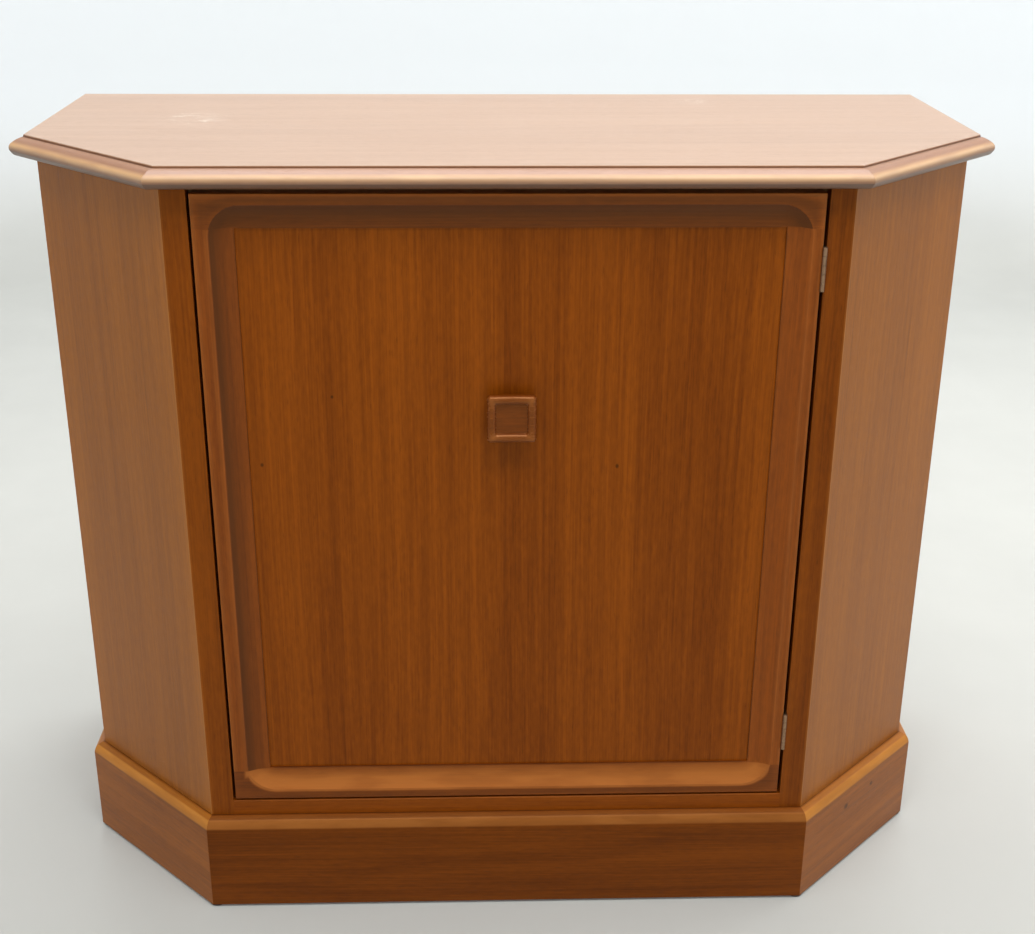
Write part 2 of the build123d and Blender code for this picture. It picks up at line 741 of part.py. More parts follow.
for label, piece in (pieces | hinge_parts).items():
    save(piece, label)
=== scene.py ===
"""Looks of a low teak cupboard with canted front corners, laid out as a Blender add-on.

The packed CAD model is the frame. Lengths are in metres, +Z is up and the door faces -Y.
Plans and profiles are complex arrays: x + iy on the floor, or outward + i up across a board.
"""

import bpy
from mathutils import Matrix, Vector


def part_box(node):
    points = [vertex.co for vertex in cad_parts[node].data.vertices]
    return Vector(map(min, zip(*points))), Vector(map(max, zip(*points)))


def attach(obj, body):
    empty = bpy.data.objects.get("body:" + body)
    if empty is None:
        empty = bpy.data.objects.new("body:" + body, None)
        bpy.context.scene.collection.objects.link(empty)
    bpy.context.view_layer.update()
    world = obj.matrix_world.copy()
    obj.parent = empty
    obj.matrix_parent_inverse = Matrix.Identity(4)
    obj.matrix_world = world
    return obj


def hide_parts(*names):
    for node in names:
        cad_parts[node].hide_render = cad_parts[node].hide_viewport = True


bl_info = {
    "name": "Canted Cupboard",
    "version": (1, 0, 0),
    "blender": (4, 5, 0),
    "location": "3D View > Sidebar > Cupboard",
    "description": "Mouldings, door frame, pull and lacquered teak finishes of a canted cupboard",
    "category": "Object",
}

import math

import bmesh
import bpy
import numpy as np
from bpy.props import FloatProperty, FloatVectorProperty, IntProperty, PointerProperty
from mathutils import Matrix

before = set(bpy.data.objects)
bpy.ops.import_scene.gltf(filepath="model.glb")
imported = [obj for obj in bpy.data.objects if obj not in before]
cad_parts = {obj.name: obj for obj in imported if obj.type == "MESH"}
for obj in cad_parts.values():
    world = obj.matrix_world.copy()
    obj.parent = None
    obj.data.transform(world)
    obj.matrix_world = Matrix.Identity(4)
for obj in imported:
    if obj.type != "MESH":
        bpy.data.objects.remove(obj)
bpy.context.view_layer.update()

MM = 0.001
QUARTER = math.pi / 2
EIGHTH = math.pi / 4
MITRE = math.sqrt(2) - 1            # sideways shift of a 45 degree corner for each unit of offset
DIAGONAL = complex(1, -1) / math.sqrt(2)
MERGE = 2e-6                        # points of a surface closer than this are one
SHARP = math.radians(32)            # edges that turn further than this stay crisp

# Places taken from the frame
FRONT_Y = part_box("front_stile_right")[0].y
BACK_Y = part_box("side_panel_right")[1].y
FRONT_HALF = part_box("front_stile_right")[1].x
SIDE_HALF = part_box("side_panel_right")[1].x
CANT_RUN = SIDE_HALF - FRONT_HALF
TOP_LOW, TOP_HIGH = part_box("top_panel")
BODY_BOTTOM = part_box("plinth_front")[1].z
PLINTH_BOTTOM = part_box("plinth_front")[0].z
PLINTH_OUT = FRONT_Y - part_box("plinth_front")[0].y
MOULDING_OUT = FRONT_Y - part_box("top_moulding_front")[0].y
DOOR_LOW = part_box("door_rail_bottom")[0]
DOOR_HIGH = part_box("door_rail_top")[1]
PANEL_X0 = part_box("door_stile_left")[1].x
PANEL_X1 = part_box("door_stile_right")[0].x
PANEL_Z0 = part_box("door_rail_bottom")[1].z
PANEL_Z1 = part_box("door_rail_top")[0].z
PANEL_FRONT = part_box("door_panel")[0].y - FRONT_Y
PANEL_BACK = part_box("door_panel")[1].y - FRONT_Y
HINGES = [(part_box(f"hinge_{place}_pin")[0].z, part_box(f"hinge_{place}_pin")[1].z)
          for place in ("lower", "upper")]
GRIP_LOW, GRIP_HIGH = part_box("pull_grip")
NECK_LOW, NECK_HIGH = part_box("pull_neck")


# Sizes and colours that a user would change

def length(name, description, default):
    """A length property, in metres."""
    return FloatProperty(name=name, description=description, default=default, unit="LENGTH",
                         precision=4)


def colour(name, description, default):
    """A colour property."""
    return FloatVectorProperty(name=name, description=description, default=default, size=3,
                               subtype="COLOR", min=0, max=1)


class MouldingSizes(bpy.types.PropertyGroup):
    """Section of the top's moulding."""

    lip: length("Lip", "Flat of the top beyond the body", FRONT_Y - TOP_LOW.y)
    quirk: length("Quirk", "Step down from the flat to the moulding", 2.2 * MM)
    slope_drop: length("Slope drop", "Depth of the long slope's end below the flat", 6.9 * MM)
    nose_drop: length("Nose drop", "Depth of the nose's widest point below the flat", 11 * MM)
    softness: length("Softness", "Rounding of the cut ends and mitres", 0.3 * MM)


class PlinthSizes(bpy.types.PropertyGroup):
    """Section of the plinth's moulded top edge."""

    slope: length("Slope", "Width of the gentle part of the ledge", 8.2 * MM)
    slope_drop: length("Slope drop", "Fall of the gentle part", 3.0 * MM)
    edge_drop: length("Edge drop", "Level where the ledge meets the board's face", 13 * MM)
    thickness: length("Thickness", "Thickness of the boards", 20 * MM)
    softness: length("Softness", "Rounding of the mitres", 0.3 * MM)


class DoorSizes(bpy.types.PropertyGroup):
    """Section of the door's frame."""

    cove_width: length("Cove width", "Width of the hollow round the panel", 24.5 * MM)
    cove_depth: length("Cove depth", "Depth of the hollow at the panel", 8 * MM)
    cove_corner: length("Cove corner", "Corner radius of the hollow's outer lip", 33 * MM)
    lip_radius: length("Lip radius", "Rounding of the hollow's outer lip", 0.9 * MM)
    arris: length("Arris", "Rounding of the door's outer edges", 0.8 * MM)
    groove: length("Groove", "Depth of the panel's groove", 7 * MM)
    groove_stop: length("Groove stop", "Where the rails' grooves stop short of their ends", 10 * MM)
    mortise_depth: length("Hinge recess", "Depth of the recess for each hinge leaf", 0.5 * MM)
    mortise_width: length("Hinge recess width", "Width of the recess for each hinge leaf", 16 * MM)


class PullSizes(bpy.types.PropertyGroup):
    """Shape of the square pull."""

    bar: length("Bar", "Width of the rounded bars round the dish", 9.2 * MM)
    dish: length("Dish", "Depth of the dish", 4.8 * MM)
    dish_hollow: length("Dish hollow", "How much deeper the dish is at its middle", 0.5 * MM)
    corner: length("Corner", "Corner radius of the grip's outline", 4 * MM)
    sag: length("Sag", "How much the bars fall between the corners", 0.5 * MM)
    waist: length("Waist", "Narrowing of the neck between the grip and the panel", 1.2 * MM)
    least_corner: length("Dish corner", "Least corner radius inside the outline", 2.4 * MM)
    neck_corner: length("Neck corner", "Corner radius of the neck", 3 * MM)
    columns: IntProperty(name="Columns", description="Points round the outline, a multiple of 4",
                         default=96, min=16)


class FinishColours(bpy.types.PropertyGroup):
    """Dark and light of each wood, and the fittings' colours."""

    door_dark: colour("Door dark", "Dark streaks of panel and stiles", (0.122, 0.0230, 0.0006))
    door_light: colour("Door light", "Light streaks of panel and stiles", (0.244, 0.0550, 0.0016))
    frame_dark: colour("Frame dark", "Dark streaks of the door's frame", (0.104, 0.0175, 0.0006))
    frame_light: colour("Frame light", "Light streaks of the door's frame", (0.222, 0.0460, 0.0015))
    # The sides' colours are paler than the door's: partly their own wood, partly a painted reflection of
    # the room's light on the canted faces
    side_dark: colour("Side dark", "Dark streaks of the body's sides", (0.215, 0.062, 0.005))
    side_light: colour("Side light", "Light streaks of the body's sides", (0.345, 0.108, 0.010))
    # The top's pale colours carry a painted reflection of the pale wall that shines on the top at a low
    # angle
    top_dark: colour("Top dark", "Dark streaks of the top", (0.325, 0.193, 0.122))
    top_light: colour("Top light", "Light streaks of the top", (0.430, 0.284, 0.197))
    edge_dark: colour("Moulding dark", "Dark streaks of the top's moulding", (0.205, 0.082, 0.032))
    edge_light: colour("Moulding light", "Light streaks of the top's moulding", (0.325, 0.146, 0.064))
    plinth_dark: colour("Plinth dark", "Dark streaks of the plinth's front", (0.085, 0.0165, 0.0004))
    plinth_light: colour("Plinth light", "Light streaks of the plinth's front", (0.165, 0.0370, 0.0010))
    foot_dark: colour("Plinth side dark", "Dark streaks of the plinth's sides", (0.175, 0.045, 0.002))
    foot_light: colour("Plinth side light", "Light streaks of the plinth's sides", (0.305, 0.086, 0.006))
    inner_dark: colour("Inside dark", "Dark streaks of the inside wood", (0.300, 0.150, 0.070))
    inner_light: colour("Inside light", "Light streaks of the inside wood", (0.460, 0.280, 0.150))
    back_dark: colour("Back dark", "Dark streaks of the plywood back", (0.330, 0.210, 0.120))
    back_light: colour("Back light", "Light streaks of the plywood back", (0.500, 0.350, 0.220))
    steel: colour("Hinge metal", "Plated steel of the hinges", (0.320, 0.195, 0.115))
    zinc: colour("Screw metal", "Zinc plate of the screws", (0.520, 0.520, 0.500))
    floor: colour("Floor", "Pale floor and backdrop", (0.520, 0.520, 0.485))


class StageSizes(bpy.types.PropertyGroup):
    """Backdrop, lights and camera."""

    radius: length("Radius", "Radius of the round backdrop", 3.2)
    height: length("Height", "Height of the backdrop's wall", 2.6)
    bend: length("Bend", "Radius of the bend between floor and wall", 0.5)
    lens: FloatProperty(name="Lens", description="Focal length in millimetres", default=52.16)
    eye: FloatVectorProperty(name="Eye", description="Where the camera stands", size=3,
                             default=(-0.03833, -1.62316, 1.13016), subtype="XYZ", unit="LENGTH")
    pitch: FloatProperty(name="Pitch", description="How far the camera looks down",
                         default=math.radians(22.571), subtype="ANGLE")
    yaw: FloatProperty(name="Yaw", description="How far the camera turns to the right",
                       default=math.radians(1.884), subtype="ANGLE")
    roll: FloatProperty(name="Roll", description="How far the camera leans",
                        default=math.radians(0.34), subtype="ANGLE")


# Shader tools

class Wire:
    """An output of a finish's nodes. Arithmetic on it adds Math nodes."""

    def __init__(self, finish, socket):
        self.finish = finish
        self.socket = socket

    def math(self, operation, first, second=0.0):
        return self.finish.add("Math", {"operation": operation}, {0: first, 1: second})

    def __add__(self, other):
        return self.math("ADD", self, other)

    def __sub__(self, other):
        return self.math("SUBTRACT", self, other)

    def __rsub__(self, other):
        return self.math("SUBTRACT", other, self)

    def __mul__(self, other):
        return self.math("MULTIPLY", self, other)

    __radd__ = __add__
    __rmul__ = __mul__


class Finish:
    """A material and the nodes that make it."""

    def __init__(self, name):
        self.material = bpy.data.materials.new(name)
        self.material.use_nodes = True
        self.tree = self.material.node_tree
        self.tree.nodes.clear()

    def add(self, kind, settings=None, inputs=None, output=0):
        """Adds one node: its settings first, then a value or a link for each named input."""
        node = self.tree.nodes.new("ShaderNode" + kind)
        for name, value in (settings or {}).items():
            setattr(node, name, value)
        for name, value in (inputs or {}).items():
            if isinstance(value, Wire):
                self.tree.links.new(value.socket, node.inputs[name])
            else:
                node.inputs[name].default_value = value
        return Wire(self, node.outputs[output])

    def place(self):
        """Position on the object."""
        return self.add("TexCoord", output="Object")

    def stretch(self, vector, scale):
        """A position scaled along each of its axes."""
        return self.add("VectorMath", {"operation": "MULTIPLY"}, {0: vector, 1: scale})

    def noise(self, vector, scale, detail=2.0, roughness=0.55):
        """Smooth noise from -0.5 to 0.5; scale is cells for each metre along each axis."""
        return self.add("TexNoise", {}, {"Vector": self.stretch(vector, scale), "Scale": 1.0,
                                         "Detail": detail, "Roughness": roughness}) - 0.5

    def clamp(self, value):
        """A value held between 0 and 1."""
        return self.add("Clamp", {}, {"Value": value})

    def ramp(self, value, start, end):
        """0 below start, 1 above end and smooth between them."""
        return self.add("MapRange", {"interpolation_type": "SMOOTHSTEP"},
                        {"Value": value, "From Min": start, "From Max": end})

    def mix(self, low, high, factor):
        """A colour between low and high."""
        low, high = (value if isinstance(value, Wire) else (*value, 1.0) for value in (low, high))
        return self.add("Mix", {"data_type": "RGBA"}, {0: factor, 6: low, 7: high}, 2)

    def near(self, vector, centre, radius):
        """1 within a spot, falling to 0 at its radius; the spot may be an ellipsoid."""
        scale = [1 / part for part in radius]
        offset = self.add("VectorMath", {"operation": "SUBTRACT"}, {0: vector, 1: centre})
        distance = self.add("VectorMath", {"operation": "LENGTH"}, {0: self.stretch(offset, scale)},
                            "Value")
        return 1 - self.ramp(distance, 0.3, 1.0)

    def finish(self, base, roughness, height=None, relief=0.0, **constants):
        """The shader itself; its constants are set on its own sockets."""
        inputs = {"Base Color": base, "Roughness": roughness}
        inputs.update({name.replace("_", " "): value for name, value in constants.items()})
        if height is not None:
            inputs["Normal"] = self.add("Bump", {}, {"Height": height, "Distance": relief,
                                                     "Strength": 1.0})
        shader = self.add("BsdfPrincipled", {}, inputs)
        output = self.tree.nodes.new("ShaderNodeOutputMaterial")
        self.tree.links.new(shader.socket, output.inputs["Surface"])
        return self.material



def scaled(tint, factor):
    """A colour made lighter or darker."""
    return tuple(part * factor for part in tint)


# Turns that lay a finish's first axis along the grain
ALONG_X = (0.0, 0.0, 0.0)
ALONG_Y = (0.0, 0.0, -QUARTER)
ALONG_Z = (0.0, QUARTER, 0.0)
ALONG_RIGHT_CANT = (0.0, 0.0, -EIGHTH)
ALONG_LEFT_CANT = (0.0, 0.0, EIGHTH)

# Tints of the old lacquer's shine: deep on the front, worn paler on the sides and the top
AMBER = (1.0, 0.50, 0.22, 1.0)
HONEY = (1.0, 0.62, 0.32, 1.0)
PALE = (1.0, 0.86, 0.74, 1.0)
CLEAR = (1.0, 1.0, 1.0, 1.0)

# Painted shade, -1, to painted highlight, 1, along the profiles of the moulding and the plinth
# Painted shade in the quirk and under the nose, a painted highlight round the nose
QUIRK_SHADE = (-1.0, -0.6, -0.1)
NOSE_HIGHLIGHT = slice(10, 23)
UNDER_SHADE = slice(-8, None)
# Painted shade where the ledge meets the body, lighter down the gentle slope, and a painted highlight
# down the drop
LEDGE_SHADE_AND_HIGHLIGHT = (-1.0, -0.3, 0.35, 0.35, 0.35, 0.35, 0.35, 0.9, 1.3, 1.4, 1.4, 1.4, 1.4, 1.3, 1.1, 0.7)

# A place lightened by wear and by painted highlight is the light streak's colour times the gain plus the
# lift
WEAR_AND_HIGHLIGHT_GAIN = (1.7, 2.2, 2.0)
WEAR_AND_HIGHLIGHT_LIFT = (0.04, 0.03, 0.02)

# How much darker than the door's wood the stiles and the pull are
STILE_SHADE = 0.85
PULL_SHADE = 0.75


def timber(name, dark, light, turn, figure=0.0, contrast=1.0, gloss=0.38, sheen=0.4,
           lacquer=AMBER, specks=(), scuffs=(), arris_highlights=(), shade=None):
    """Lacquered wood with bands, streaks, fine fibres and pores along the grain.

    tone = bands + streaks + fibres + figure, each a noise stretched along the grain; the figure
    is the contour lines of a slow noise. Tone mixes dark and light. The surface's attribute is
    above 0 where edges are rubbed and where a highlight is painted, and below 0 where shade is
    painted. Specks, scuffs and arris highlights are pairs of a centre and a radius; arris
    highlights are painted highlight lines along corners. Shade is two levels and a colour for a
    painted shade: the wood takes the colour below the first level and none of it above the second.
    """
    wood = Finish(name)
    place = wood.place()
    grain = wood.add("Mapping", {}, {"Vector": place, "Rotation": turn})
    lean = wood.noise(grain, (0.9, 4.0, 4.0), 1.0) * 0.03
    lean = wood.add("CombineXYZ", {}, {"Y": lean, "Z": lean})
    line = wood.add("VectorMath", {"operation": "ADD"}, {0: grain, 1: lean})
    # Cells for each metre along the grain, and across it
    bands = wood.noise(line, (0.45, 13.0, 13.0), 2.0)
    streaks = wood.noise(line, (1.3, 150.0, 150.0), 3.0, 0.65)
    fibres = wood.noise(line, (6.0, 620.0, 620.0), 2.0)
    flecks = wood.noise(line, (70.0, 330.0, 330.0), 2.0)
    tone = 0.5 + contrast * (bands * 1.4 + streaks * 1.2 + fibres * 1.2 + flecks * 0.8)
    if figure:
        slow = wood.noise(line, (0.8, 8.0, 8.0), 1.5)
        rings = wood.add("Math", {"operation": "PINGPONG"}, {0: slow * 16.0, 1: 1.0})
        tone = tone + (rings - 0.5) * figure
    base = wood.mix(dark, light, tone)
    pores = wood.ramp(wood.noise(line, (60.0, 1500.0, 1500.0), 1.0), 0.14, 0.26)
    base = wood.mix(base, scaled(dark, 0.5), pores * 0.5)
    wear_and_painted_light = wood.add("Attribute", {"attribute_name": "wear_and_painted_light"}, output="Fac")
    # Painted highlight lines along the given corners
    for centre, radius in arris_highlights:
        wear_and_painted_light = wear_and_painted_light + wood.near(place, centre, radius) * 0.3
    patches = wood.ramp(wood.noise(grain, (14.0, 60.0, 60.0), 2.0), -0.12, 0.1)
    # Wear and painted highlight lighten the wood where the attribute is above 0
    wear_and_highlight = wood.clamp(wear_and_painted_light) * (0.7 + patches * 0.3)
    pale = tuple(part * gain + lift for part, gain, lift in zip(light, WEAR_AND_HIGHLIGHT_GAIN, WEAR_AND_HIGHLIGHT_LIFT))
    base = wood.mix(base, pale, wear_and_highlight * 0.7)
    # Painted shade darkens the wood where the attribute is below 0
    base = wood.mix(base, scaled(dark, 0.3), wood.clamp(wear_and_painted_light * -1.0) * 0.8)
    if shade is not None:
        low, high, tint = shade
        height_of = wood.add("SeparateXYZ", {}, {0: place}, "Z")
        base = wood.mix(base, tint, 1 - wood.ramp(height_of, low, high))
    for centre, radius in specks:
        base = wood.mix(base, scaled(dark, 0.25), wood.near(place, centre, radius) * 0.85)
    roughness = gloss + bands * 0.12 + fibres * 0.12 + wear_and_highlight * 0.08
    for centre, radius in scuffs:
        marks = wood.ramp(wood.noise(place, (90.0, 260.0, 90.0), 3.0, 0.7), 0.03, 0.16)
        marks = marks * wood.near(place, centre, radius)
        base = wood.mix(base, (0.80, 0.77, 0.68), marks * 0.5)
        roughness = roughness + marks * 0.2
    height = fibres * 0.35 + streaks * 0.4 + flecks * 0.2 - pores
    return wood.finish(base, roughness, height, 0.00005, Specular_IOR_Level=sheen,
                       Specular_Tint=lacquer)


def metal(name, tint, roughness=0.34):
    """Plated steel, dulled in patches and finely brushed."""
    plate = Finish(name)
    place = plate.place()
    tarnish = plate.ramp(plate.noise(place, (160.0, 160.0, 90.0), 3.0), -0.05, 0.2)
    brushed = plate.noise(place, (2600.0, 2600.0, 160.0), 2.0)
    base = plate.mix(tint, scaled(tint, 0.55), tarnish * 0.6)
    return plate.finish(base, roughness + tarnish * 0.2 + brushed * 0.2, brushed, 0.00001,
                        Metallic=0.9)


def moulded(name, tint, roughness=0.5):
    """Matt moulded plastic or sintered ferrite with a fine grain."""
    shell = Finish(name)
    grain = shell.noise(shell.place(), (1500.0, 1500.0, 1500.0), 2.0)
    shade = shell.ramp(shell.noise(shell.place(), (60.0, 60.0, 60.0), 2.0), -0.2, 0.2)
    base = shell.mix(scaled(tint, 0.8), scaled(tint, 1.2), shade)
    return shell.finish(base, roughness + grain * 0.2, grain, 0.00004)


# Mesh tools

def arc(start, middle, end, count):
    """Points of the circle through three points, at equal steps from the first to the last.

    The centre c has the same distance to all three; the points are c plus the first radius
    turned by equal parts of the whole sweep.
    """
    ratio = (end - start) / (middle - start)
    centre = start - (start - middle) * (ratio - abs(ratio) ** 2) / 2j / ratio.imag
    sweep = np.angle((middle - centre) / (start - centre)) + np.angle((end - centre) / (middle - centre))
    return centre + (start - centre) * np.exp(1j * sweep * np.linspace(0, 1, count))


def surface(name, rings, finish, body, replaced, wear_and_painted_light=None, softness=0.0):
    """A closed piece from an array of rings of points.

    Ring i, point j joins ring i + 1, point j + 1 by a quad, each ring closes on itself, and a
    face closes each end.
    """
    count, points = rings.shape[:2]
    start = (np.arange(count - 1) * points)[:, None]
    here = np.arange(points)[None, :]
    after = (here + 1) % points
    quads = np.stack([start + here, start + after, start + points + after, start + points + here],
                     axis=-1).reshape(-1, 4)
    ends = [list(range(points)), list(range((count - 1) * points, count * points))]
    mesh = bpy.data.meshes.new(name)
    mesh.from_pydata(rings.reshape(-1, 3), [], quads.tolist() + ends)
    if wear_and_painted_light is not None:
        attribute = mesh.attributes.new("wear_and_painted_light", "FLOAT", "POINT")
        attribute.data.foreach_set("value", np.broadcast_to(wear_and_painted_light, rings.shape[:2]).ravel()
                                   .astype(np.float32))
    clean = bmesh.new()
    clean.from_mesh(mesh)
    bmesh.ops.remove_doubles(clean, verts=clean.verts, dist=MERGE)
    bmesh.ops.dissolve_degenerate(clean, edges=clean.edges, dist=MERGE / 2)
    bmesh.ops.recalc_face_normals(clean, faces=clean.faces)
    clean.to_mesh(mesh)
    clean.free()
    mesh.shade_smooth()
    mesh.set_sharp_from_angle(angle=SHARP)
    mesh.materials.append(finish)
    piece = bpy.data.objects.new(name, mesh)
    bpy.context.scene.collection.objects.link(piece)
    if softness:
        bevel = piece.modifiers.new("Softness", "BEVEL")
        bevel.width = softness
        bevel.segments = 2
        bevel.limit_method = "ANGLE"
        bevel.angle_limit = math.radians(50)
        bevel.harden_normals = True
    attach(piece, body)
    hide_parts(replaced)
    return piece


def along(profile, ends):
    """Rings of a board's profile at its ends: plan = corner + direction * offset, z = height."""
    plan = np.stack([corner + direction * profile.real for corner, direction in ends])
    height = np.broadcast_to(profile.imag, plan.shape)
    return np.stack([plan.real, plan.imag, height], axis=-1)


def mirrored(ends):
    """The ends of the board on the left for those of one on the right."""
    return [(-np.conj(corner), -np.conj(direction)) for corner, direction in ends]


# Corners of the body's plan, with the way that each one moves as the plan grows
FRONT_CORNER = (complex(FRONT_HALF, FRONT_Y), complex(MITRE, -1))
SIDE_CORNER = (complex(SIDE_HALF, FRONT_Y + CANT_RUN), complex(1, -MITRE))
BACK_CORNER = (complex(SIDE_HALF, BACK_Y), complex(1, 0))
FRONT_ENDS = mirrored([FRONT_CORNER]) + [FRONT_CORNER]
CANT_ENDS = [FRONT_CORNER, SIDE_CORNER]
SIDE_ENDS = [SIDE_CORNER, BACK_CORNER]


class CUPBOARD_OT_mouldings(bpy.types.Operator):
    """Build the quirked moulding along the top's front and canted edges"""

    bl_idname = "cupboard.mouldings"
    bl_label = "Top Mouldings"

    def execute(self, context):
        sizes = context.scene.cupboard_moulding
        colours = context.scene.cupboard_colours
        lip = sizes.lip
        flat = TOP_HIGH.z
        slope_middle = complex(lip + 8 * MM, flat - 3.9 * MM)
        slope_end = complex(MOULDING_OUT - 3.2 * MM, flat - sizes.slope_drop)
        nose_middle = complex(MOULDING_OUT - 0.2 * MM, flat - sizes.nose_drop)
        nose_end = complex(MOULDING_OUT - 2 * MM, flat - 15.9 * MM)
        under_middle = complex(MOULDING_OUT - 3.7 * MM, flat - 18.1 * MM)
        under_end = complex(MOULDING_OUT - 6.4 * MM, TOP_LOW.z)
        slope = arc(complex(lip, flat - sizes.quirk), slope_middle, slope_end, 14)
        nose = arc(slope_end, nose_middle, nose_end, 14)
        under = arc(nose_end, under_middle, under_end, 5)
        profile = np.concatenate([slope, nose[1:], under[1:], [complex(lip, TOP_LOW.z)]])
        # Painted shade in the quirk and underneath, a painted highlight round the nose
        wear_and_painted_light = np.zeros(len(profile))
        wear_and_painted_light[:len(QUIRK_SHADE)] = QUIRK_SHADE
        wear_and_painted_light[NOSE_HIGHLIGHT] = np.sin(np.linspace(0, math.pi, len(wear_and_painted_light[NOSE_HIGHLIGHT])))
        wear_and_painted_light[UNDER_SHADE] = -0.8
        # The canted mouldings are cut square where the top's canted edge ends
        cut = complex(TOP_HIGH.x, FRONT_Y + TOP_HIGH.x - FRONT_HALF - lip * math.sqrt(2))
        cut_end = (cut - DIAGONAL * lip, DIAGONAL)
        runs = {"front": (FRONT_ENDS, ALONG_X), "right": ([FRONT_CORNER, cut_end], ALONG_RIGHT_CANT),
                "left": (mirrored([FRONT_CORNER, cut_end]), ALONG_LEFT_CANT)}
        for side, (ends, turn) in runs.items():
            finish = timber(f"teak_moulding_{side}", colours.edge_dark, colours.edge_light, turn,
                            contrast=0.6, gloss=0.38, sheen=1.0, lacquer=CLEAR)
            surface(f"moulding_{side}", along(profile, ends), finish, "cabinet",
                    f"top_moulding_{side}", wear_and_painted_light, sizes.softness)
        return {"FINISHED"}


class CUPBOARD_OT_plinth(bpy.types.Operator):
    """Build the plinth's mitred boards with their moulded ledge"""

    bl_idname = "cupboard.plinth"
    bl_label = "Plinth"

    def execute(self, context):
        sizes = context.scene.cupboard_plinth
        colours = context.scene.cupboard_colours
        top = BODY_BOTTOM
        inner = PLINTH_OUT - sizes.thickness
        slope_middle = complex(sizes.slope * 0.5, top - sizes.slope_drop * 0.42)
        slope_end = complex(sizes.slope, top - sizes.slope_drop)
        drop_middle = complex(PLINTH_OUT - 1.7 * MM, top - 7.2 * MM)
        slope = arc(complex(0, top), slope_middle, slope_end, 8)
        drop = arc(slope_end, drop_middle, complex(PLINTH_OUT, top - sizes.edge_drop), 10)
        foot = [complex(PLINTH_OUT, PLINTH_BOTTOM), complex(inner, PLINTH_BOTTOM), complex(inner, top)]
        profile = np.concatenate([slope, drop[1:], foot])
        # Painted shade where the ledge meets the body, a painted highlight down its drop
        wear_and_painted_light = np.zeros(len(profile))
        wear_and_painted_light[:len(LEDGE_SHADE_AND_HIGHLIGHT)] = LEDGE_SHADE_AND_HIGHLIGHT
        runs = {"plinth_front": (FRONT_ENDS, ALONG_X),
                "plinth_cant_right": (CANT_ENDS, ALONG_RIGHT_CANT),
                "plinth_cant_left": (mirrored(CANT_ENDS), ALONG_LEFT_CANT),
                "plinth_side_right": (SIDE_ENDS, ALONG_Y),
                "plinth_side_left": (mirrored(SIDE_ENDS), ALONG_Y)}
        knots = (((0.4006, -0.1538, 0.0825), (0.006, 0.006, 0.005)),
                 ((0.4397, -0.1148, 0.0874), (0.004, 0.004, 0.004)))
        for node, (ends, turn) in runs.items():
            dark, light = ((colours.plinth_dark, colours.plinth_light) if node == "plinth_front"
                           else (colours.foot_dark, colours.foot_light))
            finish = timber(f"teak_{node}", dark, light, turn, figure=0.35, sheen=0.4,
                            lacquer=AMBER if node == "plinth_front" else HONEY,
                            specks=knots if node == "plinth_cant_right" else ())
            surface(f"{node}_board", along(profile, ends), finish, "cabinet", node,
                    wear_and_painted_light, sizes.softness)
        return {"FINISHED"}


def rounded(distance, radius):
    """Drop of a rounded arris at a distance inside its edge: a quarter circle, then level."""
    near = np.clip(radius - distance, 0, radius)
    return radius - np.sqrt(np.maximum(radius ** 2 - near ** 2, 0))


def lip_distance(x, z, sizes):
    """Distance inside the lip of the door's hollow: a rectangle with circular corners."""
    centre = ((PANEL_X0 + PANEL_X1) / 2, (PANEL_Z0 + PANEL_Z1) / 2)
    half = ((PANEL_X1 - PANEL_X0) / 2 + sizes.cove_width, (PANEL_Z1 - PANEL_Z0) / 2 + sizes.cove_width)
    beyond_x = np.abs(x - centre[0]) - (half[0] - sizes.cove_corner)
    beyond_z = np.abs(z - centre[1]) - (half[1] - sizes.cove_corner)
    outside = np.hypot(np.maximum(beyond_x, 0), np.maximum(beyond_z, 0))
    return sizes.cove_corner - outside - np.minimum(np.maximum(beyond_x, beyond_z), 0)


def door_depth(x, z, sizes):
    """Depth of the door frame's face behind its front plane, and the wear and painted light and shade
    there.

    Outside the lip it is level, with a rounded arris at the door's edges and at the lip. Inside
    it is a circular arc, as wide as the cove and as deep, that ends level at the panel.
    """
    inside = lip_distance(x, z, sizes)
    edge = np.minimum.reduce([x - DOOR_LOW.x, DOOR_HIGH.x - x, z - DOOR_LOW.z, DOOR_HIGH.z - z])
    across = np.clip(inside / sizes.cove_width, 0, 1)
    radius = (sizes.cove_width ** 2 + sizes.cove_depth ** 2) / (2 * sizes.cove_depth)
    level = sizes.cove_width * (1 - across)
    hollow = sizes.cove_depth - radius + np.sqrt(radius ** 2 - level ** 2)
    depth = np.maximum(hollow, rounded(edge, sizes.arris))
    # Rubbed lacquer and painted highlight lighten the door's arrises and the hollow's lip, and painted
    # highlight the hollow's lower side
    above = z > PANEL_Z1
    below = (z > DOOR_LOW.z) & (z < PANEL_Z0)
    beside = (x < PANEL_X0) & ~above & ~below
    band = 1.3 * MM
    wear_and_highlight = 0.6 * np.exp(-(edge / band) ** 2) + 0.4 * np.exp(-(inside / band) ** 2)
    wear_and_highlight = wear_and_highlight + 1.5 * below * (1 - across) ** 0.7 * (inside > -band)
    # Painted shade darkens the top and left sides of the hollow, the top rail under the moulding and the
    # border under the lower lip
    painted_shade = 0.9 * (above + 1.4 * beside) * (across > 0) * (1 - across) ** 1.3
    painted_shade = painted_shade + 0.45 * above * (edge > band) + 0.5 * below * (inside < -band)
    # A painted shade line where the hollow meets the panel
    groove_line = np.clip(across - 0.95, 0, 1) / 0.05
    return depth, wear_and_highlight - painted_shade - 0.8 * groove_line


